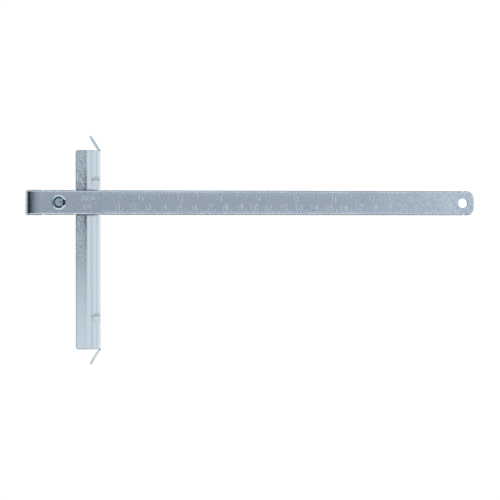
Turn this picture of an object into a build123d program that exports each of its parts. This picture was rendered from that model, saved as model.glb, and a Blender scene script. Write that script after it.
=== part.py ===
from build123d import *
import math
import os

# Guide of zinc-plated stamped steel, shaped like a T: a flat scaled bar lies across a
# fence of L section, and a sprung centre pin stands in the bar behind the fence. Pressed
# from below, the pin comes out of the scaled side, to turn in a hole at a circle's middle.
#
# Millimetres. X runs along the bar towards its hanging hole, and x = 0 is the fence's
# working face, where the scale starts. Y runs along the fence towards its short side,
# and y = 0 is the bar's centreline. Z points up, out of the scaled side of the bar, and
# z = 0 is halfway up the flat of the working face.

# ---- driving dimensions: bar ----
bar_width = 16.0
bar_sheet = 2.0
bar_reach = 248.1            # working face to the far end
bar_tail = 48.4              # working face back to the outside of the turned-down lip
bar_bend_radius = 4.0        # outside radius where the lip turns down
lip_depth = 10.0             # top of the bar to the lip's lower edge
far_corner_radius = 3.8
lip_corner_radius = 1.5
edge_radius = 0.8            # rounded upper long edges
hanging_hole_diameter = 6.5
hanging_hole_x = 240.4
nick_radius = 0.6            # relief nicks in both long edges, where the formed edge ends
nick_places = (-36.5, -16.1, 0, 240.8)

# ---- driving dimensions: fence ----
fence_sheet = 1.5
fence_width = 15.9           # plate and bend, across the top
fence_height = 25.0          # top of the plate to the flange's lower edge
fence_bend_radius = 6.4      # outside radius between plate and flange
fence_short_side = 34.1      # bar centreline to the near end
fence_long_side = 95.2       # bar centreline to the far end
plate_corner_radius = 1.5
tip_angle = 31.3             # the lead-in tips turn back from the working face
tip_length = 12.6
tip_corner_radius = 3.0
tip_bend_radius = 2.0        # outside radius where a tip turns back
tip_relief = 1.0             # gap between the bend and the top of a tip
dart_spacing = 88.8          # between the two stamped darts that stiffen the bend
dart_reach = 7.6             # how far a dart runs along the plate and down the flange
dart_half_width = 5.0        # half a dart's width at the corner

# ---- driving dimensions: bushing, centre pin, spring and retaining ring ----
bushing_boss_diameter = 8.3  # stands in the bar's hole, level with its top
bushing_gap = 0.02           # radial, in the bar
bushing_flange_diameter = 13.0
bushing_flange = 1.5
pin_x = -26.6
pin_diameter = 5.0
pin_clearance = 0.05         # radial, in the bushing
end_play = 0.05              # between faces that meet along the pin
pin_free_length = 2.2        # above the retaining ring, at rest
pin_chamfer = 0.5
button_diameter = 10.0       # the pin's head, pressed with a thumb
button_height = 3.0
button_round = 1.0
groove_diameter = 4.0
spring_length = 10.0         # at rest, between the bushing and the button
spring_wire = 0.6
spring_middle_diameter = 6.6
spring_turns = 5
ring_outside_diameter = 9.3
ring_band = 0.95
ring_thickness = 0.7
ring_mouth = 3.34
ring_prong_width = 1.6
ring_back_prong_width = 3.0
ring_prong_angle = 45.0      # end prongs, each side of the mouth

# ---- levels and places that follow ----
plate_top = (fence_bend_radius + fence_height) / 2
bar_bottom = plate_top
bar_top = bar_bottom + bar_sheet
flange_bottom = plate_top - fence_height
flange_top = plate_top - fence_bend_radius
fence_middle_y = (fence_short_side - fence_long_side) / 2
os.makedirs("parts", exist_ok=True)


# ---- guide bar: one strip, its tail turned down into a lip ----
with BuildPart() as guide_bar:
    with BuildSketch(Plane.XZ.offset(-bar_width / 2)):
        with BuildLine():
            Polyline(
                (-bar_tail + bar_bend_radius, bar_top),
                (bar_reach, bar_top),
                (bar_reach, bar_bottom),
                (-bar_tail + bar_bend_radius, bar_bottom),
            )
            RadiusArc(
                (-bar_tail + bar_bend_radius, bar_bottom),
                (-bar_tail + bar_sheet, bar_top - bar_bend_radius),
                -(bar_bend_radius - bar_sheet),
            )
            Polyline(
                (-bar_tail + bar_sheet, bar_top - bar_bend_radius),
                (-bar_tail + bar_sheet, bar_top - lip_depth),
                (-bar_tail, bar_top - lip_depth),
                (-bar_tail, bar_top - bar_bend_radius),
            )
            RadiusArc(
                (-bar_tail, bar_top - bar_bend_radius),
                (-bar_tail + bar_bend_radius, bar_top),
                bar_bend_radius,
            )
        make_face()
    extrude(amount=bar_width)
    fillet(guide_bar.edges().filter_by(Axis.Z).group_by(Axis.X)[-1], far_corner_radius)
    fillet(guide_bar.edges().filter_by(Axis.X).group_by(Axis.Z)[0], lip_corner_radius)
    fillet(guide_bar.faces().sort_by(Axis.Z)[-1].edges().filter_by(Axis.X), edge_radius)
    with BuildSketch(Plane.XY.offset(bar_top)):
        with Locations((hanging_hole_x, 0)):
            Circle(hanging_hole_diameter / 2)
        with Locations((pin_x, 0)):
            Circle(bushing_boss_diameter / 2 + bushing_gap)
        for nick_x in nick_places:
            with Locations((nick_x, -bar_width / 2), (nick_x, bar_width / 2)):
                Circle(nick_radius)
    extrude(amount=-bar_sheet, mode=Mode.SUBTRACT)


# ---- fence: plate, bend and flange, with lead-in tips and stamped darts ----
dart_places = [fence_middle_y + side * dart_spacing / 2 for side in (-1, 1)]
dart_half_angle = math.atan(dart_half_width * math.sqrt(2) / dart_reach)
dart_back = fence_sheet / math.sin(dart_half_angle)


def dart_section(middle_y, depth):
    """V section square to a dart's valley, its point a given depth behind the valley."""
    half_reach = dart_reach / 2
    height = 2 * dart_reach                 # taller than the corner it opens out of
    valley = Plane(
        origin=(-half_reach, middle_y, plate_top - half_reach),
        x_dir=(0, 1, 0),
        z_dir=(1, 0, -1),
    )
    with BuildSketch(valley) as section:
        with BuildLine():
            Polyline(
                (0, -depth),
                (-height * math.tan(dart_half_angle), height - depth),
                (height * math.tan(dart_half_angle), height - depth),
                close=True,
            )
        make_face()
    return section.sketch


def dart_rib(middle_y):
    """The metal that a dart pushes into the fence's inside corner."""
    with BuildPart() as rib:
        with BuildSketch(Plane.XZ.offset(-middle_y)):
            with BuildLine():
                Polyline(
                    (-fence_bend_radius, plate_top),
                    (-fence_width, plate_top),
                    (-fence_width, flange_bottom),
                    (0, flange_bottom),
                    (0, flange_top),
                )
                RadiusArc((0, flange_top), (-fence_bend_radius, plate_top), -fence_bend_radius)
            make_face()
        extrude(amount=2 * dart_half_width, both=True)
        extrude(dart_section(middle_y, dart_back), dart_reach, both=True, mode=Mode.INTERSECT)
    return rib.part


dart_ribs = [dart_rib(place) for place in dart_places]
dart_valleys = [dart_section(place, 0) for place in dart_places]
tip_turn = math.radians(tip_angle)
tip_root = 3 * fence_sheet                  # how far a tip's root runs back into the flange

with BuildPart() as fence:
    with BuildSketch(Plane.XZ.offset(-fence_short_side)):
        with BuildLine():
            Polyline(
                (-fence_bend_radius, plate_top),
                (-fence_width, plate_top),
                (-fence_width, plate_top - fence_sheet),
                (-fence_bend_radius, plate_top - fence_sheet),
            )
            RadiusArc(
                (-fence_bend_radius, plate_top - fence_sheet),
                (-fence_sheet, flange_top),
                fence_bend_radius - fence_sheet,
            )
            Polyline(
                (-fence_sheet, flange_top),
                (-fence_sheet, flange_bottom),
                (0, flange_bottom),
                (0, flange_top),
            )
            RadiusArc((0, flange_top), (-fence_bend_radius, plate_top), -fence_bend_radius)
        make_face()
    extrude(amount=fence_short_side + fence_long_side)
    fillet(fence.edges().filter_by(Axis.Z).group_by(Axis.X)[0], plate_corner_radius)
    # the tips carry the flange on past both ends and turn back from the working face
    for end_y, way in ((fence_short_side, 1), (-fence_long_side, -1)):
        free_x = -tip_length * math.sin(tip_turn)
        free_y = end_y + way * tip_length * math.cos(tip_turn)
        with BuildSketch(Plane.XY.offset(flange_bottom)) as tip_plan:
            with BuildLine():
                Polyline(
                    (0, end_y - way * tip_root),
                    (0, end_y),
                    (free_x, free_y),
                    (
                        free_x - fence_sheet * math.cos(tip_turn),
                        free_y - way * fence_sheet * math.sin(tip_turn),
                    ),
                    (-fence_sheet, end_y - way * fence_sheet * math.tan(tip_turn / 2)),
                    (-fence_sheet, end_y - way * tip_root),
                    close=True,
                )
            make_face()
            turn_corner = tip_plan.vertices().sort_by_distance((0, end_y, flange_bottom))[0]
            fillet(turn_corner, tip_bend_radius)
        extrude(amount=flange_top - tip_relief - flange_bottom)
    tip_corners = fence.edges().filter_by(
        lambda edge: abs(edge.length - fence_sheet) < 0.01
        and abs(edge.center().Y - fence_middle_y)
        > (fence_short_side + fence_long_side) / 2 + tip_length / 2
    )
    fillet(tip_corners, tip_corner_radius)
    for rib in dart_ribs:
        add(rib)
    for valley in dart_valleys:
        extrude(valley, 2 * dart_reach, both=True, mode=Mode.SUBTRACT)


# ---- bushing: it guides the pin through the thin bar ----
with BuildPart() as pin_bushing:
    with BuildSketch(Plane((pin_x, 0, bar_top))):
        Circle(bushing_boss_diameter / 2)
    extrude(amount=-bar_sheet)
    with BuildSketch(Plane((pin_x, 0, bar_bottom))):
        Circle(bushing_flange_diameter / 2)
    extrude(amount=-bushing_flange)
    with BuildSketch(Plane((pin_x, 0, bar_top))):
        Circle(pin_diameter / 2 + pin_clearance)
    extrude(amount=-(bar_sheet + bushing_flange), mode=Mode.SUBTRACT)


# ---- centre pin: chamfered end, groove for the ring, shank, and a button below ----
pin_radius = pin_diameter / 2
ring_bottom = bar_top + end_play
groove_top = ring_bottom + ring_thickness + end_play
pin_top = ring_bottom + ring_thickness + pin_free_length
spring_bottom = bar_bottom - bushing_flange - end_play - spring_length
button_top = spring_bottom - end_play
button_radius = button_diameter / 2

with BuildPart() as centre_pin:
    with BuildSketch(Plane.XZ.move(Location((pin_x, 0, 0)))) as pin_profile:
        with BuildLine():
            Polyline(
                (0, button_top - button_height),
                (button_radius, button_top - button_height),
                (button_radius, button_top),
                (pin_radius, button_top),
                (pin_radius, bar_top),
                (groove_diameter / 2, bar_top),
                (groove_diameter / 2, groove_top),
                (pin_radius, groove_top),
                (pin_radius, pin_top - pin_chamfer),
                (pin_radius - pin_chamfer, pin_top),
                (0, pin_top),
                close=True,
            )
        make_face()
        button_rim = pin_profile.vertices().group_by(Axis.Z)[0].sort_by(Axis.X)[-1]
        fillet(button_rim, button_round)
    revolve(axis=Axis((pin_x, 0, 0), (0, 0, 1)))


# ---- spring: it holds the button away from the bushing ----
coil_base = Plane((pin_x, 0, spring_bottom + spring_wire / 2))
coil_height = spring_length - spring_wire
with BuildPart() as pin_spring:
    with BuildLine(coil_base) as coil:
        Helix(
            pitch=coil_height / spring_turns,
            height=coil_height,
            radius=spring_middle_diameter / 2,
        )
    with BuildSketch(Plane(origin=coil.line @ 0, z_dir=coil.line % 0)):
        Circle(spring_wire / 2)
    sweep(path=coil.line, is_frenet=True)


# ---- retaining ring: a band with three prongs, its mouth towards the fence ----
prong_reach = ring_outside_diameter / 2 - ring_band / 2
with BuildPart() as retaining_ring:
    with BuildSketch(Plane((pin_x, 0, ring_bottom))):
        Circle(ring_outside_diameter / 2)
        Circle(ring_outside_diameter / 2 - ring_band, mode=Mode.SUBTRACT)
        for prong_angle, prong_width in (
            (180, ring_back_prong_width),
            (ring_prong_angle, ring_prong_width),
            (-ring_prong_angle, ring_prong_width),
        ):
            with PolarLocations(prong_reach / 2, 1, start_angle=prong_angle):
                Rectangle(prong_reach, prong_width)
        with Locations((ring_outside_diameter / 2, 0)):
            Rectangle(ring_outside_diameter, ring_mouth, mode=Mode.SUBTRACT)
        Circle(groove_diameter / 2 + end_play, mode=Mode.SUBTRACT)
    extrude(amount=ring_thickness)


for name, piece in (
    ("guide_bar", guide_bar),
    ("fence", fence),
    ("pin_bushing", pin_bushing),
    ("centre_pin", centre_pin),
    ("pin_spring", pin_spring),
    ("retaining_ring", retaining_ring),
):
    piece.part.label = name
    export_step(piece.part, f"parts/{name}.step")
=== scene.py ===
import math

import bmesh
import bpy
from bpy.props import FloatProperty, FloatVectorProperty, IntProperty, PointerProperty
from bpy.types import Operator, Panel, PropertyGroup
from mathutils import Matrix, Vector


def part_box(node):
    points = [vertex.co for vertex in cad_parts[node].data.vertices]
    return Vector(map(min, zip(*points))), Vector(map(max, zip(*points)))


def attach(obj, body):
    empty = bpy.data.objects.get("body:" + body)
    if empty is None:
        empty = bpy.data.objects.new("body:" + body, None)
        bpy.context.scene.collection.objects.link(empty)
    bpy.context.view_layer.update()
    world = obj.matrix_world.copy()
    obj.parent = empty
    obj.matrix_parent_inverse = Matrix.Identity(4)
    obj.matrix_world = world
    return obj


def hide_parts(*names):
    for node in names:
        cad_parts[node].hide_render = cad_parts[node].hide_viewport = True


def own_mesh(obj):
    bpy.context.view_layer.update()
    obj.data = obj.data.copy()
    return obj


bl_info = {
    "name": "Scaled steel T guide",
    "version": (1, 0, 0),
    "blender": (4, 5, 0),
    "location": "View3D > Sidebar > T Guide",
    "description": "Stamped bar with two scales on an L fence, with a sprung centre pin",
    "category": "Object",
}

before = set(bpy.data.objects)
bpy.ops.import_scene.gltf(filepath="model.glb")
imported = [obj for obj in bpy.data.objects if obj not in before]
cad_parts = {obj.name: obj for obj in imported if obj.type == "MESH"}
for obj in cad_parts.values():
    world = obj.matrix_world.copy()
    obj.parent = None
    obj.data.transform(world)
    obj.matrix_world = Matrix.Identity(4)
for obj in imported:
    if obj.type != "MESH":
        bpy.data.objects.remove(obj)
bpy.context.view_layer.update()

# Corners of each piece's room, in metres. X runs along the bar, Y along the fence, Z up.
BAR_LOW, BAR_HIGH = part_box("guide_bar")
FENCE_LOW, FENCE_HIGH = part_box("fence")
BUSHING_LOW, BUSHING_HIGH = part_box("pin_bushing")
PIN_LOW, PIN_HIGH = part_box("centre_pin")
SPRING_LOW, SPRING_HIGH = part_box("pin_spring")
RING_LOW, RING_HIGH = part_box("retaining_ring")
MM = 0.001
INCH = 25.4 * MM
UP = Vector((0, 0, 1))
PIN_X = (PIN_LOW.x + PIN_HIGH.x) / 2
BAR_HALF = (BAR_HIGH.y - BAR_LOW.y) / 2
FENCE_ENDS = (34.1 * MM, -95.2 * MM)  # the plate's ends, from the bar's centreline
FENCE_MIDDLE = sum(FENCE_ENDS) / 2
NICK_PLACES = (-36.5 * MM, -16.1 * MM, 0.0, 240.8 * MM)  # pairs of nicks along the bar
TINY = 1e-7  # points nearer than this are one
NEAR = 1e-6  # points nearer than this to a plane lie on it
SMOOTH_UNDER = math.radians(35)  # edges flatter than this are shaded smooth
SHEET_CORNER = math.radians(60)  # edges sharper than this lie between a skin and its rim
CUT_ABOVE = 0.08 * MM  # how far a stamp's cutter stands above the bar
ZINC, GROOVE, SHEARED = range(3)  # the bar's materials, in order
CUT_RIM, TORN = 1, 2  # the fence's materials after its zinc

# Settings that many shader nodes share.
SMOOTH = {"interpolation_type": "SMOOTHSTEP"}
COLOURS = {"data_type": "RGBA"}
METAL = {"Metallic": 1.0}
PLUS, TIMES, TIMES_PLUS, MINUS, SIZE, LARGER = ({"operation": name} for name in (
    "ADD", "MULTIPLY", "MULTIPLY_ADD", "SUBTRACT", "ABSOLUTE", "MAXIMUM"))


def linear(hex_colour):
    """The linear colour of an sRGB hex value."""
    shares = [int(hex_colour[i:i + 2], 16) / 255 for i in (0, 2, 4)]
    return tuple(c / 12.92 if c <= 0.04045 else ((c + 0.055) / 1.055) ** 2.4 for c in shares)


def length(name, description, millimetres, low=0.01, high=500.0):
    """A length property that a user sees in scene units."""
    return FloatProperty(
        name=name, description=description, default=millimetres * MM,
        min=low * MM, max=high * MM, unit="LENGTH", precision=5,
    )


def angle(name, description, degrees):
    """An angle property, kept in radians."""
    return FloatProperty(
        name=name, description=description, default=math.radians(degrees), subtype="ANGLE")


def colour(name, description, hex_colour):
    """A colour property, kept linear."""
    return FloatVectorProperty(
        name=name, description=description, default=linear(hex_colour),
        subtype="COLOR", size=3, min=0.0, max=1.0,
    )


class BarSizes(PropertyGroup):
    """Sizes and colours of the scaled bar."""
    sheet: length("Sheet", "Thickness of the bar's steel", 2.0)
    bend_radius: length("Bend radius", "Outside radius where the tail turns down", 4.2)
    far_corner: length("Far corner", "Radius of the far end's corners", 4.8)
    lip_corner: length("Lip corner", "Radius of the lip's lower corners", 1.5)
    edge_round: length("Edge round", "Rounding of the upper edges", 1.3)
    burr_round: length("Lower edge round", "Rounding of the lower edges", 0.15)
    lead_in: length("Lead-in", "How far before the bend the strip starts to fall away", 5.2)
    lead_angle: angle("Lead-in angle", "Slope of the strip where the bend starts", 6)
    bend_swell: length("Bend swell", "How far the sides swell where the tail is bent", 0.22)
    hole_radius: length("Hole radius", "Radius of the hanging hole", 3.25)
    hole_x: length("Hole place", "From the working face to the hanging hole", 240.4)
    seat_radius: length("Bushing hole", "Radius of the hole that the bushing sits in", 4.17)
    nick_radius: length("Nick radius", "Radius of the small nicks in the long edges", 0.6)
    light_tone: colour("Light zinc", "The brighter flecks of the plating", "cddae5")
    dark_tone: colour("Dark zinc", "The duller flecks of the plating", "a8b6c3")
    # darker than the plating: the steel's own dull cut, and in the holes also painted shade
    sheared_tone: colour("Sheared steel", "Holes' walls and the cut sides", "7d878f")
    groove_tone: colour("Groove", "The floor of the stamped marks", "e3ebf2")
    fleck: length("Fleck", "Size of the plating's flecks", 1.5)


class ScaleSizes(PropertyGroup):
    """Sizes of the stamped inch and centimetre scales."""
    groove_width: length("Line width", "Width of a stamped line", 0.4)
    groove_depth: length("Line depth", "Depth of a stamped line", 0.1)
    figure_depth: length("Figure depth", "Depth of a stamped figure", 0.18)
    figure_height: length("Figure height", "Height of the figures", 4.0)
    inches: IntProperty(name="Inches", description="Last whole inch on the scale", default=9)
    centimetres: IntProperty(name="Centimetres", description="Last centimetre", default=24)


class FenceSizes(PropertyGroup):
    """Sizes and colours of the L-shaped fence."""
    sheet: length("Sheet", "Thickness of the fence's steel", 1.5)
    bend_radius: length("Bend radius", "Outside radius between plate and flange", 6.0)
    shoulder: length("Shoulder", "From the working face to where the plate starts to fall", 8.5)
    shoulder_angle: angle("Shoulder angle", "Slope of the plate's shoulder before the bend", 9.3)
    bead: length("Bead", "Height of the slight bead that bending raises along the plate", 0.05)
    plate_corner: length("Plate corner", "Radius of the plate's free corners", 1.5)
    tip_length: length("Tip length", "Straight length of a lead-in tip", 11.4)
    tip_bend: length("Tip bend", "Outside radius where a tip turns back", 2.0)
    tip_corner: length("Tip corner", "Radius of a tip's free corners", 3.0)
    tip_relief: length("Tip relief", "Gap between the bend and the top of a tip", 1.0)
    tip_angle: angle("Tip angle", "How far a tip turns back", 31.3)
    dart_reach: length("Dart reach", "How far a dart runs along the plate", 7.2)
    dart_half_width: length("Dart half width", "Half a dart's width at the corner", 5.0)
    dart_spacing: length("Dart spacing", "Between the two darts", 88.8)
    edge_round: length("Edge round", "Rounding of the sheared edges", 0.45)
    sheared_tone: colour("Sheared steel", "The plate's cut rim", "8a939a")
    # painted shadow: a near-black tone for the tips' tops in the relief gaps at their roots
    torn_tone: colour("Torn steel", "Torn edges at the roots of the tips", "343b41")
    light_tone: colour("Light zinc", "The brighter plating", "cbd9e1")
    # also mixed in at a third of its light as the fence's painted shade
    dark_tone: colour("Dark zinc", "The duller plating near the bar", "9eabb6")


class PinSizes(PropertyGroup):
    """Sizes and colours of the centre pin, bushing, spring and ring."""
    pin_radius: length("Pin radius", "Radius of the centre pin", 2.5)
    groove_radius: length("Groove radius", "Radius at the bottom of the ring's groove", 2.0)
    chamfer: length("Chamfer", "Chamfer at the pin's end", 0.5)
    button_height: length("Button height", "Height of the thumb button", 3.0)
    ring_band: length("Ring band", "Width of the ring's band", 0.95)
    ring_mouth: length("Ring mouth", "Opening of the retaining ring", 3.34)
    wire: length("Spring wire", "Diameter of the spring's wire", 0.6)
    open_turns: FloatProperty(
        name="Open turns", description="Spring turns between the closed ends", default=3.5)
    pin_tone: colour("Pin steel", "Turned and zinc-plated steel of the pin", "a9b6c0")
    # the rim's bright tone is partly worn steel and partly a painted highlight
    ring_tone: colour("Ring steel", "The ring's rim, where the blue is rubbed away", "e6eef3")
    blued_tone: colour("Blued steel", "Tempered blue of the ring's inner side", "6d97b0")
    spring_tone: colour("Spring wire", "Drawn spring wire", "aab0b4")
    # painted shadow: a near-black nylon tone inside the bushing's slot
    recess_tone: colour("Recess", "Inside of the bushing's slot", "0a1820")
    nylon_tone: colour("Nylon", "Dark blue moulded nylon of the bushing", "22719c")


class StageSizes(PropertyGroup):
    """Camera, floor and light."""
    camera_distance: length("Camera distance", "Camera above the bar", 850.0, high=5000.0)
    lens: FloatProperty(
        name="Lens", description="Focal length on a 36 mm sensor", default=94.4 * MM,
        unit="CAMERA")
    floor_size: length("Floor size", "Side of the floor", 6000.0, high=20000.0)
    rest_tilt: angle("Rest tilt", "Tilt of the floor under the resting guide", 5.78)
    floor_tone: colour("Floor", "Plain white floor", "f7f8f8")
    sky_grey: colour("Overhead", "The grey gap between the overhead panels", "697177")
    sky_bright: colour("Panels", "The white panels", "fbfcff")
    sky_low: colour("Low room", "The unlit room below the panels", "d3dade")
    sky_dark: colour("Dark end", "The unlit end of the gap", "26333c")


# ---------------- shared helpers

def add(tree, kind, settings=(), values=(), links=()):
    """Adds a shader node: settings are its properties, values fill sockets, and links feed
    them, each from a socket or from a node's first output."""
    node = tree.nodes.new("ShaderNode" + kind)
    for name, value in dict(settings).items():
        setattr(node, name, value)
    for socket, value in dict(values).items():
        node.inputs[socket].default_value = value
    for socket, source in dict(links).items():
        if isinstance(source, bpy.types.Node):
            source = source.outputs[0]
        tree.links.new(source, node.inputs[socket])
    return node


def ramp(start, end, most=1.0):
    """A map range's values: from 0 at start to most at end, whichever is larger."""
    return {"From Min": start, "From Max": end, "To Max": most}


def new_material(name):
    """A material with an empty node tree, and the place that its patterns read."""
    material = bpy.data.materials.new(name)
    material.use_nodes = True
    tree = material.node_tree
    tree.nodes.clear()
    return material, tree, add(tree, "TexCoord").outputs["Object"]


def surface(tree, values, base, bump=None, roughness=None):
    """Ends a material's tree: fixed values of its surface, and the nodes that drive the
    rest. The base comes from a colour mix."""
    links = {"Base Color": base.outputs[2], "Normal": bump, "Roughness": roughness}
    shader = add(tree, "BsdfPrincipled", values=values, links={
        socket: source for socket, source in links.items() if source})
    add(tree, "OutputMaterial", links={"Surface": shader})


def rgba(tone, share=1.0):
    """A tone as a socket wants it, darkened to a share of its light."""
    return (*(c * share for c in tone[:3]), 1.0)


def shade(mesh):
    """Shades a mesh smooth between its sharp edges."""
    mesh.shade_smooth()
    mesh.set_sharp_from_angle(angle=SMOOTH_UNDER)


def new_piece(bm, name, materials, body=None, closed=True):
    """An object from a bmesh. An open sheet's faces already point outwards, and it is
    shaded once it has its thickness."""
    if closed:
        bmesh.ops.recalc_face_normals(bm, faces=bm.faces)
    mesh = bpy.data.meshes.new(name)
    bm.to_mesh(mesh)
    bm.free()
    for material in materials:
        mesh.materials.append(material)
    if closed:
        shade(mesh)
    piece = bpy.data.objects.new(name, mesh)
    bpy.context.scene.collection.objects.link(piece)
    if body:
        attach(piece, body)
    return piece


def modify(piece, kind, **settings):
    """Adds a modifier with its settings."""
    modifier = piece.modifiers.new(kind.lower(), kind)
    for name, value in settings.items():
        setattr(modifier, name, value)


def applied(piece):
    """Turns a piece's live modifiers into its own mesh."""
    graph = bpy.context.evaluated_depsgraph_get()
    graph.update()
    old = piece.data
    piece.data = bpy.data.meshes.new_from_object(
        piece.evaluated_get(graph), preserve_all_data_layers=True, depsgraph=graph)
    piece.modifiers.clear()
    piece.data.name = piece.name
    bpy.data.meshes.remove(old)
    shade(piece.data)


def combine(piece, tool, operation="DIFFERENCE"):
    """Cuts or joins a tool into a piece, and removes the tool."""
    modify(piece, "BOOLEAN", operation=operation, solver="EXACT", material_mode="INDEX",
           object=tool)
    applied(piece)
    mesh = tool.data
    bpy.data.objects.remove(tool)
    bpy.data.meshes.remove(mesh)


def round_edges(piece, width, sharper_than):
    """Rounds every edge that is sharper than an angle."""
    modify(piece, "BEVEL", width=width, segments=3, limit_method="ANGLE",
           angle_limit=sharper_than)
    applied(piece)


def even_shading(piece):
    """Flat faces keep their own normal beside small rounded edges."""
    modify(piece, "WEIGHTED_NORMAL", keep_sharp=True, weight=80)


def bevel(bm, geometry, radius, affect, segments):
    """Rounds a solid's edges, or the corners of a flat sheet."""
    bmesh.ops.bevel(
        bm, geom=geometry, offset=radius, affect=affect, segments=segments, profile=0.5,
        material=-1)


def divide(bm, point, normal):
    """Divides every face that a plane crosses."""
    bmesh.ops.bisect_plane(
        bm, geom=bm.verts[:] + bm.edges[:] + bm.faces[:], plane_co=point, plane_no=normal)


def face_up(bm):
    """Turns a sheet's faces so that its largest one points up."""
    bmesh.ops.recalc_face_normals(bm, faces=bm.faces)
    if max(bm.faces, key=lambda face: face.calc_area()).normal.z < 0:
        bmesh.ops.reverse_faces(bm, faces=bm.faces)


def lathe(bm, profile, steps=64, close=True, centre_x=PIN_X):
    """Spins a profile of (radius, height) points round an upright axis on the bar's
    centreline."""
    verts = [bm.verts.new((centre_x + r, 0, z)) for r, z in profile]
    edges = [bm.edges.new(pair) for pair in zip(verts, verts[1:])]
    if close:
        edges.append(bm.edges.new((verts[-1], verts[0])))
    bmesh.ops.spin(
        bm, geom=verts + edges, cent=(centre_x, 0, 0), axis=UP, angle=2 * math.pi,
        steps=steps, use_merge=True, use_duplicate=False)
    bmesh.ops.remove_doubles(bm, verts=bm.verts, dist=TINY)


def sweep(bm, geometry, centre, axis, turn, steps, climb=0.0):
    """Sweeps geometry round an axis, climbing as it goes, and returns its last place."""
    return bmesh.ops.spin(
        bm, geom=geometry, cent=centre, axis=axis, dvec=(0, 0, climb / steps), angle=turn,
        steps=steps, use_merge=False, use_duplicate=False)["geom_last"]


def rod(bm, centre, radius, height, segments):
    """Adds an upright rod."""
    bmesh.ops.create_cone(
        bm, cap_ends=True, segments=segments, radius1=radius, radius2=radius, depth=height,
        matrix=Matrix.Translation(centre))


def block(centre, size, turn=0.0):
    """A bmesh of one block, turned about the upright axis through the pin."""
    bm = bmesh.new()
    matrix = (
        Matrix.Translation((PIN_X, 0, 0)) @ Matrix.Rotation(turn, 4, "Z")
        @ Matrix.LocRotScale(centre, None, size))
    bmesh.ops.create_cube(bm, size=1.0, matrix=matrix)
    return bm


def trail(bm, vert, points):
    """Extrudes a vertex through points of (x, z), at its own y."""
    for x, z in points:
        vert = bmesh.ops.extrude_vert_indiv(bm, verts=[vert])["verts"][0]
        vert.co = (x, vert.co.y, z)


def verts_in(geometry):
    """The vertices of mixed geometry, in its order."""
    return [g for g in geometry if isinstance(g, bmesh.types.BMVert)]


def paint(faces, slot):
    """Gives faces one of their piece's materials."""
    for face in faces:
        face.material_index = slot


# ---------------- materials

def band(tree, position, centre, edges):
    """A soft band beside a line at centre: edges is a ramp over the distance from it."""
    off = add(tree, "Math", PLUS, {1: -centre}, {0: position})
    away = add(tree, "Math", SIZE, links={0: off})
    return add(tree, "MapRange", SMOOTH, edges, {"Value": away})


def joint_wear(tree, place, flecks, joint):
    """How mottled the fence's plating is, and how much painted shade darkens it, each from 0
    to 1. The joint is given by the plate's edge beside the bend, and by how far from the bar's
    centreline the plating is mottled and where it is clear again."""
    axes = add(tree, "SeparateXYZ", links={"Vector": place})
    along_bar, along_fence = axes.outputs["X"], axes.outputs["Y"]
    edge_x, dull_y, clear_y = joint
    far = add(tree, "Math", SIZE, links={0: along_fence})
    ragged = add(tree, "Math", TIMES_PLUS, {1: 3.0 * MM}, {0: flecks, 2: along_bar})
    on_plate = add(tree, "MapRange", SMOOTH, ramp(edge_x + 1.4 * MM, edge_x + 0.6 * MM), {
        "Value": ragged})
    near = add(tree, "MapRange", SMOOTH, ramp(clear_y, dull_y), {"Value": far})
    worn = add(tree, "Math", TIMES, links={0: on_plate, 1: near})

    # painted shade along the bead's crease, widest and darkest where the bar covers it
    streak = band(tree, along_bar, edge_x - 1.1 * MM, ramp(1.5 * MM, 0.1 * MM))
    fade = add(tree, "MapRange", SMOOTH, ramp(27 * MM, 7 * MM), {"Value": far})
    broken = add(tree, "MapRange", values={
        "From Min": 0.35, "From Max": 0.6, "To Min": 1.0, "To Max": 0.25}, links={
        "Value": flecks})
    dark = add(tree, "Math", TIMES, links={0: streak, 1: fade})
    dark = add(tree, "Math", TIMES, links={0: dark, 1: broken})
    # painted shadow on the plate in a thin band beside the bar's long edges
    corner = add(tree, "MapRange", SMOOTH, ramp(BAR_HIGH.y + 1.3 * MM, BAR_HIGH.y, 0.7), {
        "Value": far})
    # painted shade along the rolled-over cut rim, all round the plate's free edges
    outer, inner, rim_dark = 0.3 * MM, 0.8 * MM, 0.42
    side = add(tree, "MapRange", SMOOTH, ramp(
        FENCE_LOW.x + inner, FENCE_LOW.x + outer, rim_dark), {"Value": along_bar})
    half = (FENCE_ENDS[0] - FENCE_ENDS[1]) / 2
    ends = band(tree, along_fence, FENCE_MIDDLE, ramp(half - inner, half - outer, rim_dark))
    for patch in (corner, side, ends):
        dark = add(tree, "Math", LARGER, links={0: dark, 1: patch})
    # all of that is on the plate, and none of it on the flange
    on_top = add(tree, "MapRange", SMOOTH, ramp(
        FENCE_HIGH.z - 1.3 * MM, FENCE_HIGH.z - 0.9 * MM), {"Value": axes.outputs["Z"]})
    dark = add(tree, "Math", TIMES, links={0: dark, 1: on_top})
    # painted shade in a faint line where the plate starts to bend, and on the darts' walls
    mark = band(tree, along_bar, -5.6 * MM, ramp(1.6 * MM, 0.0, 0.17))
    wall = add(tree, "Attribute", {"attribute_name": "pressed"})
    # painted shade of the bend line and the darts' walls
    rubbed = add(tree, "Math", TIMES_PLUS, {1: 0.5}, {0: wall.outputs["Fac"], 2: mark})
    return worn, add(tree, "Math", LARGER, links={0: dark, 1: rubbed})


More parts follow.
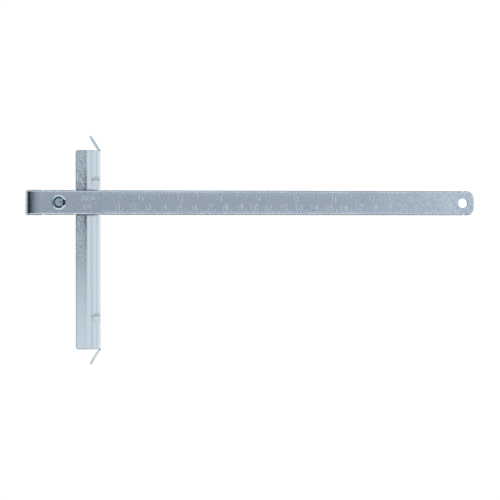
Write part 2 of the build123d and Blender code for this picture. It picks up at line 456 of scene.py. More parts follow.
def zinc_material(name, light_tone, dark_tone, fleck, rough, relief, contrast=1.0, joint=None):
    """Zinc-plated cold-rolled steel, barrel plated: a blue-grey metal whose fine flecks
    catch the light unevenly. Where joint is given, the plating is mottled and on the whole
    darker beside the bar, clears along the plate and over the bend, and painted shade
    darkens it beside the bar, along the bead, round the cut rim and on the darts' walls."""
    material, tree, place = new_material(name)
    flecks = add(tree, "TexNoise", values={
        "Scale": 1 / fleck, "Detail": 4.0, "Roughness": 0.62}, links={"Vector": place})
    # grit of the pickled steel under the plating, drawn at 0.6 mm so that it shows
    grit = add(tree, "TexNoise", values={
        "Scale": 1 / (0.6 * MM), "Detail": 2.0, "Roughness": 0.55}, links={"Vector": place})
    clouds = add(tree, "TexNoise", values={
        "Scale": 1 / (14 * MM), "Detail": 3.0}, links={"Vector": place})
    total = add(tree, "Math", TIMES_PLUS, {1: 0.5}, {0: clouds, 2: flecks})
    total = add(tree, "Math", TIMES_PLUS, {1: 0.6}, {0: grit, 2: total})
    middle, spread = 1.05, 0.27 / contrast  # the three noises' sum is 1.05 on average
    amount = add(tree, "MapRange", SMOOTH, ramp(middle - spread, middle + spread), {
        "Value": total})
    height = add(tree, "Math", TIMES_PLUS, {1: 0.5}, {0: grit, 2: flecks})
    bump = add(tree, "Bump", values={"Strength": 1.0, "Distance": relief}, links={
        "Height": height})
    if joint:
        worn, dark = joint_wear(tree, place, flecks, joint)
        amount = add(tree, "Mix", {"data_type": "FLOAT"}, {2: 1.0}, {0: worn, 3: amount})
        depth = add(tree, "MapRange", values={
            "To Min": 0.12 * relief, "To Max": relief}, links={"Value": worn})
        tree.links.new(depth.outputs[0], bump.inputs["Distance"])
    base = add(tree, "Mix", COLOURS, {6: rgba(dark_tone), 7: rgba(light_tone)}, {0: amount})
    if joint:
        # painted shade: the dark mask pulls the plating towards a third of its dark tone
        base = add(tree, "Mix", COLOURS, {7: rgba(dark_tone, 0.3)}, {
            0: dark, 6: base.outputs[2]})
    roughness = add(tree, "MapRange", values={
        "To Min": rough[1], "To Max": rough[0]}, links={"Value": amount})
    surface(tree, METAL, base, bump, roughness)
    return material


def sheared_material(name, tone):
    """Steel that was sheared or punched: dull, and dark against the bright plating. Its darkness
    also paints the shade inside the bar's holes, and with a near-black tone the shadow in the
    fence's relief gaps.
    """
    material, tree, place = new_material(name)
    # the punch leaves scores that run down the wall, about 0.2 mm apart
    stretched = add(tree, "Mapping", values={"Scale": (1, 1, 0.15)}, links={"Vector": place})
    scores = add(tree, "TexNoise", values={
        "Scale": 1 / (0.2 * MM), "Detail": 2.0}, links={"Vector": stretched})
    base = add(tree, "Mix", COLOURS, {6: rgba(tone, 0.55), 7: rgba(tone)}, {0: scores})
    bump = add(tree, "Bump", values={"Strength": 1.0, "Distance": 0.02 * MM}, links={
        "Height": scores})
    surface(tree, {**METAL, "Roughness": 0.55}, base, bump)
    return material


def turned_material(name, tone, rough, ring_pitch):
    """Turned and zinc-plated steel: smooth metal with fine rings round its axis, which
    draw the light out into a soft cross."""
    material, tree, place = new_material(name)
    centred = add(tree, "Mapping", values={"Location": (-PIN_X, 0, 0)}, links={
        "Vector": place})
    wave_rate = 20  # a wave texture's phase for each unit, at a scale of 1
    rings = add(tree, "TexWave", {"wave_type": "RINGS", "rings_direction": "Z"}, {
        "Scale": 1 / (ring_pitch * wave_rate), "Distortion": 0.6, "Detail": 2.0}, {
        "Vector": centred})
    stain = add(tree, "TexNoise", values={
        "Scale": 1 / (0.9 * MM), "Detail": 3.0}, links={"Vector": place})
    base = add(tree, "Mix", COLOURS, {6: rgba(tone, 0.72), 7: rgba(tone)}, {0: stain})
    roughness = add(tree, "MapRange", values={
        "To Min": rough[0], "To Max": rough[1]}, links={"Value": stain})
    bump = add(tree, "Bump", values={"Strength": 0.5, "Distance": 0.006 * MM}, links={
        "Height": rings.outputs["Fac"]})
    surface(tree, METAL, base, bump, roughness)
    return material


def blued_material(name, blue, bright, worn_radius):
    """Tempered spring steel, blue in the middle and bright round its rim, where the blue is worn
    away and a painted highlight brightens it.
    """
    material, tree, place = new_material(name)
    centred = add(tree, "Mapping", values={
        "Location": (-PIN_X, 0, 0), "Scale": (1, 1, 0)}, links={"Vector": place})
    away = add(tree, "VectorMath", {"operation": "LENGTH"}, links={0: centred})
    stain = add(tree, "TexNoise", values={
        "Scale": 1 / (0.8 * MM), "Detail": 3.0}, links={"Vector": place})
    edge = add(tree, "Math", TIMES_PLUS, {1: -0.5 * MM}, {
        0: stain, 2: away.outputs["Value"]})
    worn = add(tree, "MapRange", SMOOTH, ramp(worn_radius - 0.5 * MM, worn_radius), {
        "Value": edge})
    base = add(tree, "Mix", COLOURS, {6: rgba(blue), 7: rgba(bright)}, {0: worn})
    bump = add(tree, "Bump", values={"Strength": 0.5, "Distance": 0.01 * MM}, links={
        "Height": stain})
    surface(tree, {**METAL, "Roughness": 0.24}, base, bump)
    return material


def nylon_material(name, tone):
    """Moulded nylon: deep blue with a soft satin sheen and a faint spark-eroded grain."""
    material, tree, place = new_material(name)
    grain = add(tree, "TexNoise", values={
        "Scale": 1 / (0.25 * MM), "Detail": 2.0}, links={"Vector": place})
    base = add(tree, "Mix", COLOURS, {6: rgba(tone, 0.7), 7: rgba(tone)}, {0: grain})
    bump = add(tree, "Bump", values={"Strength": 0.4, "Distance": 0.01 * MM}, links={
        "Height": grain})
    roughness = add(tree, "MapRange", values={"To Min": 0.32, "To Max": 0.5}, links={
        "Value": grain})
    surface(tree, {"IOR": 1.53}, base, bump, roughness)
    return material


# ---------------- bar

def bar_blank(sizes):
    """The strip with its tail turned down, before anything is punched or stamped."""
    top, radius, slope = BAR_HIGH.z, sizes.bend_radius, sizes.lead_angle
    bend_x = BAR_LOW.x + radius * (1 - math.sin(slope))
    drop = sizes.lead_in * math.tan(slope) / 2
    clamp_x = bend_x + sizes.lead_in
    bm = bmesh.new()
    start = bm.verts.new((bend_x, -BAR_HALF, top - drop))
    centre = (BAR_LOW.x + radius, 0, top - drop - radius * math.cos(slope))
    spun = sweep(bm, [start], centre, (0, -1, 0), math.pi / 2 - slope, 12)
    trail(bm, verts_in(spun)[0], [(BAR_LOW.x, BAR_LOW.z)])
    # the strip falls away more and more towards the bend, behind a faint clamping ridge
    fall = [(bend_x + sizes.lead_in * s, top - drop * (1 - s) ** 2) for s in (0.2, 0.4, 0.6, 0.8)]
    ridge = [(clamp_x + offset * MM, top + height * MM) for offset, height in (
        (0.0, 0.008), (0.5, 0.02), (1.0, 0.024), (1.5, 0.018), (2.1, 0.0))]
    trail(bm, start, [*fall, *ridge, (BAR_HIGH.x, top)])
    sheet = bmesh.ops.extrude_edge_only(bm, edges=bm.edges[:])["geom"]
    bmesh.ops.translate(bm, vec=(0, 2 * BAR_HALF, 0), verts=verts_in(sheet))
    far = [v for v in bm.verts if v.co.x > BAR_HIGH.x - NEAR]
    bevel(bm, far, sizes.far_corner, "VERTICES", 10)
    low = [v for v in bm.verts if v.co.z < BAR_LOW.z + NEAR]
    bevel(bm, low, sizes.lip_corner, "VERTICES", 6)
    face_up(bm)
    outline = {rounded(v.co) for v in bm.verts}
    bmesh.ops.solidify(bm, geom=bm.faces, thickness=sizes.sheet)
    bmesh.ops.recalc_face_normals(bm, faces=bm.faces)
    return bm, outline


def rounded(point):
    """A point that can be looked up again."""
    return tuple(round(c, 7) for c in point)


def corner_edges(bm, outline=None):
    """Edges between a sheet's skins and its rim, or those on one skin's outline only."""
    found = []
    for edge in bm.edges:
        if len(edge.link_faces) == 2 and edge.calc_face_angle() >= SHEET_CORNER:
            if outline is None or all(rounded(v.co) in outline for v in edge.verts):
                found.append(edge)
    return found


def line_cutter(bm, low, high, pinch, material):
    """A block whose foot is narrowed along X, for a stamped line with sloping walls."""
    low, high = Vector(low), Vector(high)
    place = Matrix.LocRotScale((low + high) / 2, None, high - low)
    verts = bmesh.ops.create_cube(bm, size=1.0, matrix=place)["verts"]
    foot = [v for v in verts if v.co.z < (low.z + high.z) / 2]
    middle = (low.x + high.x) / 2
    bmesh.ops.scale(
        bm, vec=(pinch, 1, 1), space=Matrix.Translation((-middle, 0, 0)), verts=foot)
    paint({face for vert in verts for face in vert.link_faces}, material)


def scale_lines(scale):
    """Each stamped line as (x, from_y, to_y): sixteenths of an inch along the upper edge,
    millimetres along the lower one. Each reach is a line's length in millimetres."""
    over = 0.4 * MM
    lines = []
    for step in range(1, scale.inches * 16 + 8):
        reach = 2.6
        for parts, longer in ((2, 3.2), (4, 3.9), (8, 4.8), (16, 6.2)):
            if step % parts == 0:
                reach = longer
        lines.append((step * INCH / 16, BAR_HALF - reach * MM, BAR_HALF + over))
    for step in range(1, scale.centimetres * 10 - 3):
        reach = 6.0 if step % 10 == 0 else 4.2 if step % 5 == 0 else 2.8
        lines.append((step * MM, -BAR_HALF - over, -BAR_HALF + reach * MM))
    return lines


def figure_places(scale):
    """Each stamped figure as (text, centre x, centre y, share of the figures' height)."""
    inch_y, inch_share = 2.2 * MM, 0.92
    cm_y, cm_share = -3.1 * MM, 1.05
    beside = 2.2 * MM  # a single figure stands beside its line, and two stand astride it
    places = [
        (str(number), number * INCH + beside, inch_y, inch_share)
        for number in range(1, scale.inches + 1)]
    for number in range(1, scale.centimetres + 1):
        figures = str(number)
        offsets = (beside,) if number < 10 else (-1.75 * MM, 1.85 * MM)
        for figure, offset in zip(figures, offsets):
            places.append((figure, number * 10 * MM + offset, cm_y, cm_share))
    places.append(("INCH", -8.0 * MM, 2.6 * MM, 0.8))
    places.append(("CM", -8.4 * MM, -3.0 * MM, 0.8))
    return places


def figure_cutter(scale, materials):
    """All stamped figures as one solid that reaches a little above the bar."""
    cap_height, narrowing = 0.73, 0.82  # of the type, at a size of 1
    deep = scale.figure_depth + CUT_ABOVE
    middle_z = BAR_HIGH.z + CUT_ABOVE - deep / 2
    bm = bmesh.new()
    for text, x, y, share in figure_places(scale):
        curve = bpy.data.curves.new("figure", "FONT")
        curve.body = text
        curve.align_x = curve.align_y = "CENTER"
        curve.resolution_u = 3
        curve.extrude = 0.5
        writing = bpy.data.objects.new("figure", curve)
        bpy.context.scene.collection.objects.link(writing)
        graph = bpy.context.evaluated_depsgraph_get()
        mesh = bpy.data.meshes.new_from_object(writing.evaluated_get(graph), depsgraph=graph)
        height = scale.figure_height * share / cap_height
        mesh.transform(Matrix.LocRotScale(
            (x, y, middle_z), None, (height * narrowing, height, deep)))
        bm.from_mesh(mesh)
        bpy.data.objects.remove(writing)
        bpy.data.curves.remove(curve)
        bpy.data.meshes.remove(mesh)
    bmesh.ops.remove_doubles(bm, verts=bm.verts, dist=TINY)
    paint(bm.faces, GROOVE)
    return new_piece(bm, "figures", materials)


def hole_profile(radius, top, bottom, ease):
    """Section of a punch that leaves a hole with a drawn-in mouth and a broken lower edge."""
    over = 0.3 * MM
    return [
        (0, bottom - over), (radius + ease / 2 + over / 2, bottom - over),
        (radius, bottom + ease / 2), (radius, top - ease),
        (radius + ease * 0.3, top - ease * 0.4), (radius + ease, top),
        (radius + ease * 2.2, top + over), (0, top + over),
    ]


def punches(sizes, scale, materials):
    """The holes, nicks and stamped lines of the bar as one cutter."""
    top, bottom = BAR_HIGH.z, BAR_HIGH.z - sizes.sheet
    bm = bmesh.new()
    lathe(bm, hole_profile(sizes.hole_radius, top, bottom, 0.3 * MM), centre_x=sizes.hole_x)
    lathe(bm, hole_profile(sizes.seat_radius, top, bottom, 0.15 * MM))
    bm.normal_update()
    # the holes' walls take sheared steel, whose darker tone also paints the shade inside the
    # holes
    paint([face for face in bm.faces if abs(face.normal.z) < 0.3], SHEARED)
    for x in NICK_PLACES:
        for side in (-1, 1):
            rod(bm, (x, side * (BAR_HALF + 0.15 * MM), bottom), sizes.nick_radius,
                3 * sizes.sheet, 16)
    width = scale.groove_width
    for x, from_y, to_y in scale_lines(scale):
        line_cutter(
            bm, (x - width / 2, from_y, top - scale.groove_depth),
            (x + width / 2, to_y, top + CUT_ABOVE), 0.7, GROOVE)
    # the line across the bar where the working face stands under it
    line_cutter(
        bm, (-0.14 * MM, -BAR_HALF - MM, top - 0.1 * MM),
        (0.14 * MM, BAR_HALF + MM, top + CUT_ABOVE), 0.3, ZINC)
    return new_piece(bm, "punches", materials)


class TGUIDE_OT_bar(Operator):
    """Make the scaled bar: a strip with a turned-down tail, punched and stamped"""
    bl_idname = "tguide.bar"
    bl_label = "Scaled bar"

    def execute(self, context):
        sizes = context.scene.tguide_bar
        scale = context.scene.tguide_scale
        zinc = zinc_material(
            "zinc_plated_rolled_steel", sizes.light_tone, sizes.dark_tone, sizes.fleck,
            (0.15, 0.24), 0.012 * MM, contrast=1.2)
        groove = zinc_material(
            "zinc_plated_stamped_groove", sizes.groove_tone, sizes.light_tone, 0.6 * MM,
            (0.5, 0.62), 0.01 * MM)
        sheared = sheared_material("sheared_steel_edge_and_hole_shade", sizes.sheared_tone)
        skins = [zinc, groove, sheared]
        bm, outline = bar_blank(sizes)
        bevel(bm, corner_edges(bm, outline), sizes.edge_round, "EDGES", 4)
        bevel(bm, corner_edges(bm), sizes.burr_round, "EDGES", 2)
        sideways = math.sin(math.radians(45))
        paint([face for face in bm.faces if abs(face.normal.y) > sideways], SHEARED)
        bar = new_piece(bm, "guide_bar_detail", skins)
        combine(bar, punches(sizes, scale, skins))
        combine(bar, figure_cutter(scale, skins))

        # bending presses the strip's sides out, most in the middle of the bend
        reach = 7 * MM
        for vertex in bar.data.vertices:
            share = 1 - min(1.0, abs(vertex.co.x - (BAR_LOW.x + reach)) / reach)
            swell = sizes.bend_swell * share * share * (3 - 2 * share)
            vertex.co.y += swell * vertex.co.y / BAR_HALF
        even_shading(bar)
        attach(bar, "root")
        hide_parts("guide_bar")
        return {"FINISHED"}


# ---------------- fence

def fence_sheet(sizes):
    """The outer skin of the fence: plate, bend and flange, with both lead-in tips."""
    low, top = FENCE_LOW, FENCE_HIGH.z
    radius, turn, slope = sizes.bend_radius, sizes.tip_angle, sizes.shoulder_angle
    bend_x = -radius * (1 - math.sin(slope))
    drop = (sizes.shoulder + bend_x) * math.tan(slope)
    flange_top = top - drop - radius * math.cos(slope)
    tip_top = flange_top - sizes.tip_relief
    bm = bmesh.new()
    start = bm.verts.new((bend_x, FENCE_ENDS[0], top - drop))
    spun = sweep(bm, [start], (-radius, 0, flange_top), (0, 1, 0), math.pi / 2 - slope, 14)
    trail(bm, verts_in(spun)[0], [(0, low.z)])
    # up the shoulder, over the bead and out to the plate's free edge
    edge_x, bead = -sizes.shoulder, sizes.bead
    shoulder = [(edge_x + 1.2 * MM, top - 0.2 * MM), (edge_x + 0.3 * MM, top - 0.045 * MM)]
    over_bead = [(edge_x - x * MM, top + share * bead) for x, share in (
        (0.0, 0.2), (0.3, 0.8), (0.6, 1.0), (1.1, 0.7), (1.6, 0.25), (2.1, 0.0))]
    trail(bm, start, [*shoulder, *over_bead, (low.x, top)])
    sheet = bmesh.ops.extrude_edge_only(bm, edges=bm.edges[:])["geom"]
    bmesh.ops.translate(bm, vec=(0, FENCE_ENDS[1] - FENCE_ENDS[0], 0), verts=verts_in(sheet))
    divide(bm, (0, 0, tip_top), UP)
    for end, way in zip(FENCE_ENDS, (1, -1)):
        edge = next(
            e for e in bm.edges
            if all(abs(v.co.y - end) < TINY and v.co.x > -TINY
                   and v.co.z < tip_top + NEAR for v in e.verts))
        turned = sweep(
            bm, [edge, *edge.verts], (-sizes.tip_bend, end, 0), UP * way, turn, 6)
        last = [e for e in turned if isinstance(e, bmesh.types.BMEdge)]
        free = verts_in(bmesh.ops.extrude_edge_only(bm, edges=last)["geom"])
        step = sizes.tip_length
        bmesh.ops.translate(
            bm, vec=(-step * math.sin(turn), way * step * math.cos(turn), 0), verts=free)
        bevel(bm, free, sizes.tip_corner, "VERTICES", 8)
    plate_corners = [v for v in bm.verts if v.co.x < low.x + TINY]
    bevel(bm, plate_corners, sizes.plate_corner, "VERTICES", 6)
    bmesh.ops.remove_doubles(bm, verts=bm.verts, dist=TINY)
    return bm


def press_darts(bm, sizes):
    """Pushes two gussets into the bend: each is a V whose valley runs at 45 degrees from
    plate to flange."""
    reach = sizes.dart_reach
    slope = reach / (sizes.dart_half_width * math.sqrt(2))
    top = FENCE_HIGH.z
    inward = Vector((-1, 0, -1)).normalized()
    places = [FENCE_MIDDLE + side * sizes.dart_spacing / 2 for side in (-1, 1)]
    # faces small enough to take the shape
    for place in places:
        for step in range(-16, 17):
            divide(bm, (0, place + step * 0.42 * MM, 0), (0, 1, 0))
    for step in range(1, 10):
        offset = sizes.bend_radius + step * 0.5 * MM
        divide(bm, (-offset, 0, 0), (1, 0, 0))
        divide(bm, (0, 0, top - offset), UP)
    # how much painted shade each point of a dart's wall takes
    pressed = bm.verts.layers.float.new("pressed")
    soft, least = 0.7 * MM, 0.1 * MM
    valley_round, valley_rise, widest = 1.6 * MM, 1.2 * MM, 7 * MM
    for vert in bm.verts:
        height = (vert.co.x + (vert.co.z - top) + reach) / math.sqrt(2)
        for place in places:
            side = abs(vert.co.y - place)
            if side > widest:
                continue
            gap = height - (math.hypot(side, valley_round) * slope - valley_rise)
            # smooth minimum of the old skin and the dart's wall
            push = (gap + math.sqrt(gap * gap + soft * soft)) / 2
            if push > least:
                # painted shade on the darts' walls: one wall of each dart takes more of it than
                # the other
                rub = 1.0 if vert.co.y > place + 0.3 * MM else 0.35
                steep = min(1.0, side / (1.4 * MM)) * min(1.0, push / (0.9 * MM))
                vert[pressed] = rub * steep
                vert.co += inward * (push - least)


def mark_edges(fence, sizes):
    """Gives the plate's cut rim its own material, and paints shadow on the tips' tops in the
    relief gaps at their roots.
    """
    rim = sizes.edge_round
    plate_under = FENCE_HIGH.z - sizes.sheet - 0.1 * MM
    root_low, root_high = FENCE_HIGH.z - sizes.bend_radius - 2.5 * MM, plate_under - 1.0 * MM
    for face in fence.data.polygons:
        x, y, z = face.center
        on_end = y > FENCE_ENDS[0] - rim or y < FENCE_ENDS[1] + rim
        if z > plate_under and abs(face.normal.z) < 0.97 and (x < FENCE_LOW.x + rim or on_end):
            face.material_index = CUT_RIM
        # painted shadow on the upward faces at the tips' roots, in the relief gaps
        elif x > -2.4 * MM and on_end and root_low < z < root_high:
            if min(abs(y - end) for end in FENCE_ENDS) < 1.3 * MM and face.normal.z > 0.3:
                face.material_index = TORN


class TGUIDE_OT_fence(Operator):
    """Make the fence: a pressed L section with stamped darts and lead-in tips"""
    bl_idname = "tguide.fence"
    bl_label = "Fence"

    def execute(self, context):
        sizes = context.scene.tguide_fence
        zinc = zinc_material(
            "zinc_plated_pressed_steel", sizes.light_tone, sizes.dark_tone, 1.5 * MM,
            (0.15, 0.24), 0.08 * MM, contrast=3.0,
            joint=(-sizes.shoulder, 14 * MM, 47 * MM))
        sheared = sheared_material("sheared_fence_edge", sizes.sheared_tone)
        # near-black steel that paints the shadow in the relief gaps at the tips' roots
        torn = sheared_material("relief_gap_painted_shadow", sizes.torn_tone)
        bm = fence_sheet(sizes)
        press_darts(bm, sizes)
        bmesh.ops.recalc_face_normals(bm, faces=bm.faces)
        if sum(f.normal.z * f.calc_area() for f in bm.faces) < 0:
            bmesh.ops.reverse_faces(bm, faces=bm.faces)
        fence = new_piece(bm, "fence_detail", [zinc, sheared, torn], closed=False)
        modify(fence, "SOLIDIFY", thickness=sizes.sheet, offset=-1.0, use_even_offset=True)
        applied(fence)
        round_edges(fence, sizes.edge_round, SHEET_CORNER)
        mark_edges(fence, sizes)
        even_shading(fence)
        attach(fence, "root")
        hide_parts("fence")
        return {"FINISHED"}


# ---------------- pin group

class TGUIDE_OT_bushing(Operator):
    """Make the moulded bushing that guides the pin through the bar"""
    bl_idname = "tguide.bushing"
    bl_label = "Bushing"

    def execute(self, context):
        sizes = context.scene.tguide_pin
        nylon = nylon_material("moulded_blue_nylon", sizes.nylon_tone)
        # near-black nylon inside the slot: painted shadow
        shade_in_slot = nylon_material("nylon_slot_painted_shadow", sizes.recess_tone)
        bore = sizes.pin_radius + 0.05 * MM
        boss = 4.15 * MM
        rim = (BUSHING_HIGH.x - BUSHING_LOW.x) / 2
        top, bottom = BUSHING_HIGH.z, BUSHING_LOW.z
        shelf = bottom + 1.5 * MM
        ease = 0.2 * MM
        flat = top - 0.02 * MM
        bm = bmesh.new()
        lathe(bm, [
            (bore + ease, bottom), (rim - 2 * ease, bottom),
            (rim - 0.6 * ease, bottom + 0.6 * ease), (rim, bottom + 2 * ease), (rim, shelf),
            (boss, shelf), (boss, top - ease), (boss - ease, flat), (bore + 2 * ease, flat),
            (bore, top - 2 * ease), (bore, bottom + ease),
        ])
        bushing = new_piece(bm, "pin_bushing_detail", [nylon, shade_in_slot], "root")
        # a slot in the rim, under the ring's mouth, for the tool that takes the ring off
        cut = block((3.25 * MM, 0, top), (1.3 * MM, 3.1 * MM, 3.2 * MM))
        # the slot's faces take the near-black nylon: painted shadow
        paint(cut.faces, 1)
        combine(bushing, new_piece(cut, "slot", [nylon, shade_in_slot]))
        even_shading(bushing)
        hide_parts("pin_bushing")
        return {"FINISHED"}


class TGUIDE_OT_pin(Operator):
    """Make the centre pin: a turned pin with a thumb button below"""
    bl_idname = "tguide.pin"
    bl_label = "Centre pin"

    def execute(self, context):
        sizes = context.scene.tguide_pin
        steel = turned_material(
            "turned_zinc_plated_steel", sizes.pin_tone, (0.2, 0.36), 0.16 * MM)
        radius, groove, chamfer = sizes.pin_radius, sizes.groove_radius, sizes.chamfer
        top, bottom, bar_top = PIN_HIGH.z, PIN_LOW.z, BAR_HIGH.z
        button = (PIN_HIGH.x - PIN_LOW.x) / 2
        button_top = bottom + sizes.button_height
        groove_top = RING_HIGH.z + 0.05 * MM
        ease, flats, flat_depth = 0.08 * MM, 72, 0.12 * MM
        # the button's rounded lower rim, as (in from the side, up from the bottom) in mm
        rim = [(button - inset * MM, bottom + height * MM) for inset, height in (
            (1.0, 0.0), (0.62, 0.07), (0.29, 0.29), (0.07, 0.62), (0.0, 1.0))]
        bm = bmesh.new()
        lathe(bm, [
            (0, bottom + 0.35 * MM), (1.6 * MM, bottom + 0.3 * MM),
            (3.3 * MM, bottom + 0.08 * MM), *rim, (button, button_top - 0.25 * MM),
            (button - 0.07 * MM, button_top - 0.07 * MM), (button - 0.25 * MM, button_top),
            (radius + 0.15 * MM, button_top), (radius, button_top + 0.15 * MM),
            (radius, bar_top - 0.05 * MM), (groove, bar_top), (groove, groove_top),
            (radius - ease, groove_top), (radius, groove_top + ease),
            (radius, top - chamfer), (radius - chamfer, top),
            (radius - chamfer - 0.35 * MM, top), (radius - chamfer - 0.5 * MM, top - 0.04 * MM),
            (0, top - 0.05 * MM),
        ], steps=flats, close=False)
        # straight milled lines round the button give the thumb a grip
        for vert in bm.verts:
            away = Vector((vert.co.x - PIN_X, vert.co.y))
            if away.length > button - 0.01 * MM:
                turn = math.atan2(away.y, away.x)
                if round(turn / (2 * math.pi) * flats) % 2:
                    shrink = 1 - flat_depth / away.length
                    vert.co.x = PIN_X + away.x * shrink
                    vert.co.y = away.y * shrink
        pin = new_piece(bm, "centre_pin_detail", [steel], "pin")
        even_shading(pin)
        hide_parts("centre_pin")
        return {"FINISHED"}


class TGUIDE_OT_ring(Operator):
    """Make the retaining ring: an E-shaped clip in the pin's groove"""
    bl_idname = "tguide.ring"
    bl_label = "Retaining ring"

    def execute(self, context):
        sizes = context.scene.tguide_pin
        outer = (RING_HIGH.y - RING_LOW.y) / 2
        inner = outer - sizes.ring_band
        # blue ring whose bright rim is worn steel and a painted highlight
        steel = blued_material(
            "blued_spring_steel_worn_and_highlit_rim", sizes.blued_tone, sizes.ring_tone,
            outer - 0.75 * MM)
        bow = 0.24 * MM
        low = RING_LOW.z
        thick = RING_HIGH.z - low - bow
        middle_z = low + thick / 2
        bm = bmesh.new()
        lathe(bm, [
            (inner, low), (outer, low), (outer, low + thick), (inner, low + thick)], steps=80)
        ring = new_piece(bm, "retaining_ring_detail", [steel])
        reach = (outer + inner) / 2
        for degrees, width in ((180, 3.0), (45, 1.6), (-45, 1.6)):
            prong = block(
                (reach / 2 + 0.3 * MM, 0, middle_z), (reach - 0.6 * MM, width * MM, thick),
                math.radians(degrees))
            combine(ring, new_piece(prong, "prong", [steel]), "UNION")
        bore = bmesh.new()
        rod(bore, (PIN_X, 0, middle_z), sizes.groove_radius + 0.05 * MM, 3 * thick, 48)
        combine(ring, new_piece(bore, "bore", [steel]))
        mouth = block((outer, 0, middle_z), (2 * outer, sizes.ring_mouth, 3 * thick))
        combine(ring, new_piece(mouth, "mouth", [steel]))
        round_edges(ring, 0.2 * MM, math.radians(50))
        # the ring is bowed: it stands highest where its prongs meet the pin
        for vertex in ring.data.vertices:
            away = math.hypot(vertex.co.x - PIN_X, vertex.co.y)
            share = (outer - away) / (outer - sizes.groove_radius)
            vertex.co.z += bow * min(1.0, max(0.0, share))
        even_shading(ring)
        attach(ring, "plunger")
        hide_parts("retaining_ring")
        return {"FINISHED"}


class TGUIDE_OT_spring(Operator):
    """Make the coil spring between the bushing and the button"""
    bl_idname = "tguide.spring"
    bl_label = "Spring"

    def execute(self, context):
        sizes = context.scene.tguide_pin
        steel = turned_material(
            "drawn_spring_wire", sizes.spring_tone, (0.25, 0.38), 0.4 * MM)
        wire = sizes.wire
        middle = (SPRING_HIGH.y - SPRING_LOW.y) / 2 - wire / 2
        rise = SPRING_HIGH.z - SPRING_LOW.z - wire
        closed, turn_steps = 0.75, 32
        place = (
            Matrix.Translation((PIN_X + middle, 0, SPRING_LOW.z + wire / 2))
            @ Matrix.Rotation(math.pi / 2, 4, "X"))
        bm = bmesh.new()
        made = bmesh.ops.create_circle(
            bm, cap_ends=False, segments=10, radius=wire / 2, matrix=place)
        loop = made["verts"] + list({e for v in made["verts"] for e in v.link_edges})
        stages = ((closed, closed * wire), (sizes.open_turns, rise - 2 * closed * wire),
                  (closed, closed * wire))
        for turns, climb in stages:
            loop = sweep(
                bm, loop, (PIN_X, 0, 0), UP, 2 * math.pi * turns, round(turns * turn_steps),
                climb)
        bmesh.ops.holes_fill(bm, edges=[e for e in bm.edges if e.is_boundary], sides=0)
        spring = new_piece(bm, "pin_spring_detail", [steel], "root")
        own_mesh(spring)
        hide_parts("pin_spring")
        return {"FINISHED"}


# ---------------- stage

def soft_room(sizes):
    """Room light, drawn as one soft sky: white panels all round and overhead, with one
    grey gap between them over the bar, which darkens to an unlit end behind the tail.
    Directions run from -1 to 1 along each axis."""
    world = bpy.data.worlds.new("soft_room")
    world.use_nodes = True
    tree = world.node_tree
    tree.nodes.clear()
    way = add(tree, "SeparateXYZ", links={"Vector": add(tree, "TexCoord").outputs["Generated"]})
    lit = add(tree, "MapRange", SMOOTH, ramp(-0.34, -0.09), {"Value": way})
    far = add(tree, "MapRange", SMOOTH, ramp(0.16, 0.285), {"Value": way})
    gap_middle, gap_edge = 0.045, 0.076
    off_centre = add(tree, "Math", MINUS, {1: gap_middle}, {0: way.outputs["Y"]})
    aside = add(tree, "Math", SIZE, links={0: off_centre})
    widening = add(tree, "MapRange", values=ramp(-0.12, -1.0, 0.7), links={"Value": way})
    past_gap = add(tree, "Math", MINUS, links={0: aside, 1: widening})
    side = add(tree, "MapRange", SMOOTH, ramp(0.0, gap_edge), {"Value": past_gap})
    bright = add(tree, "Math", LARGER, links={0: far, 1: side})
    gap = add(tree, "Mix", COLOURS, {
        6: rgba(sizes.sky_dark), 7: rgba(sizes.sky_grey)}, {0: lit})
    sky = add(tree, "Mix", COLOURS, {7: rgba(sizes.sky_bright)}, {
        0: bright, 6: gap.outputs[2]})
    rise = add(tree, "MapRange", SMOOTH, ramp(0.1, 0.45), {"Value": way.outputs["Z"]})
    walls = add(tree, "Mix", COLOURS, {6: rgba(sizes.sky_low)}, {0: rise, 7: sky.outputs[2]})
    room = add(tree, "Background", links={"Color": walls.outputs[2]})
    # the camera sees a plain pale backdrop instead
    plain = add(tree, "Background", values={"Color": rgba(sizes.floor_tone)})
    seen = add(tree, "MixShader", links={
        0: add(tree, "LightPath").outputs["Is Camera Ray"], 1: room, 2: plain})
    add(tree, "OutputWorld", links={"Surface": seen})
    return world


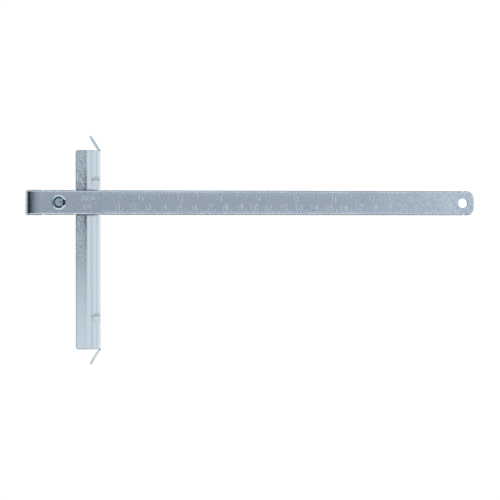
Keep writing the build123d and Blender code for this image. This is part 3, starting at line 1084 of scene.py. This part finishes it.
class TGUIDE_OT_stage(Operator):
    """Make the white floor, the soft light and the camera above the guide"""
    bl_idname = "tguide.stage"
    bl_label = "Stage"

    def execute(self, context):
        sizes = context.scene.tguide_stage
        scene = context.scene
        # the guide rests on the flange's lower edge and on the bar's far end
        tilt = Matrix.Rotation(-sizes.rest_tilt, 4, "Y")
        heel = Vector((0, 0, FENCE_LOW.z - 0.4 * MM))
        bm = bmesh.new()
        bmesh.ops.create_grid(
            bm, x_segments=2, y_segments=2, size=sizes.floor_size / 2,
            matrix=Matrix.Translation(heel) @ tilt)
        # Opal acrylic lit from behind: it glows an even white, so no shadow shows on it.
        material, tree, place = new_material("lit_white_acrylic")
        haze = add(tree, "TexNoise", values={"Scale": 1 / (2 * MM), "Detail": 2.0}, links={
            "Vector": place})
        tone = add(tree, "Mix", COLOURS, {
            6: rgba((0.05, 0.05, 0.05)), 7: rgba((0.055, 0.055, 0.055))}, {0: haze})
        surface(tree, {
            "Specular IOR Level": 0.0, "Roughness": 0.9, "Emission Color": (1, 1, 1, 1),
            "Emission Strength": 1.0}, tone)
        floor = new_piece(bm, "floor", [material])
        scene.world = soft_room(sizes)

        camera_data = bpy.data.cameras.new("camera")
        camera_data.sensor_width = 36
        camera_data.lens = sizes.lens * 1000
        camera_data.clip_start = 0.01
        camera_data.clip_end = 20
        camera = bpy.data.objects.new("camera", camera_data)
        scene.collection.objects.link(camera)
        # straight above the floor, a little off square to it
        aim = (
            Matrix.Rotation(math.radians(-5.86), 4, "Y")
            @ Matrix.Rotation(math.radians(0.90), 4, "X")
            @ Matrix.Rotation(math.radians(-0.19), 4, "Z"))
        offset = aim @ Vector((97.055 * MM, -30.827 * MM, sizes.camera_distance))
        camera.matrix_world = Matrix.Translation(Vector((0, 0, BAR_HIGH.z)) + offset) @ aim
        scene.camera = camera
        scene.view_settings.view_transform = "Standard"
        return {"FINISHED"}


class TGUIDE_PT_panel(Panel):
    """Lists the guide's pieces and their sizes"""
    bl_label = "T guide"
    bl_idname = "TGUIDE_PT_panel"
    bl_space_type = "VIEW_3D"
    bl_region_type = "UI"
    bl_category = "T Guide"

    def draw(self, context):
        for operator, group in PIECES:
            box = self.layout.box()
            box.operator(operator.bl_idname)
            settings = getattr(context.scene, group)
            for name in settings.__annotations__:
                box.prop(settings, name)


GROUPS = {
    "tguide_bar": BarSizes,
    "tguide_scale": ScaleSizes,
    "tguide_fence": FenceSizes,
    "tguide_pin": PinSizes,
    "tguide_stage": StageSizes,
}
PIECES = (
    (TGUIDE_OT_bar, "tguide_bar"),
    (TGUIDE_OT_fence, "tguide_fence"),
    (TGUIDE_OT_bushing, "tguide_pin"),
    (TGUIDE_OT_pin, "tguide_pin"),
    (TGUIDE_OT_ring, "tguide_pin"),
    (TGUIDE_OT_spring, "tguide_pin"),
    (TGUIDE_OT_stage, "tguide_stage"),
)
CLASSES = (*GROUPS.values(), *(operator for operator, _ in PIECES), TGUIDE_PT_panel)


def register():
    for cls in CLASSES:
        bpy.utils.register_class(cls)
    for name, group in GROUPS.items():
        setattr(bpy.types.Scene, name, PointerProperty(type=group))


def unregister():
    for name in GROUPS:
        delattr(bpy.types.Scene, name)
    for cls in reversed(CLASSES):
        bpy.utils.unregister_class(cls)


def main():
    register()
    bpy.ops.tguide.bar()
    bpy.ops.tguide.fence()
    bpy.ops.tguide.bushing()
    bpy.ops.tguide.pin()
    bpy.ops.tguide.ring()
    bpy.ops.tguide.spring()
    bpy.ops.tguide.stage()


if __name__ == "__main__":
    main()
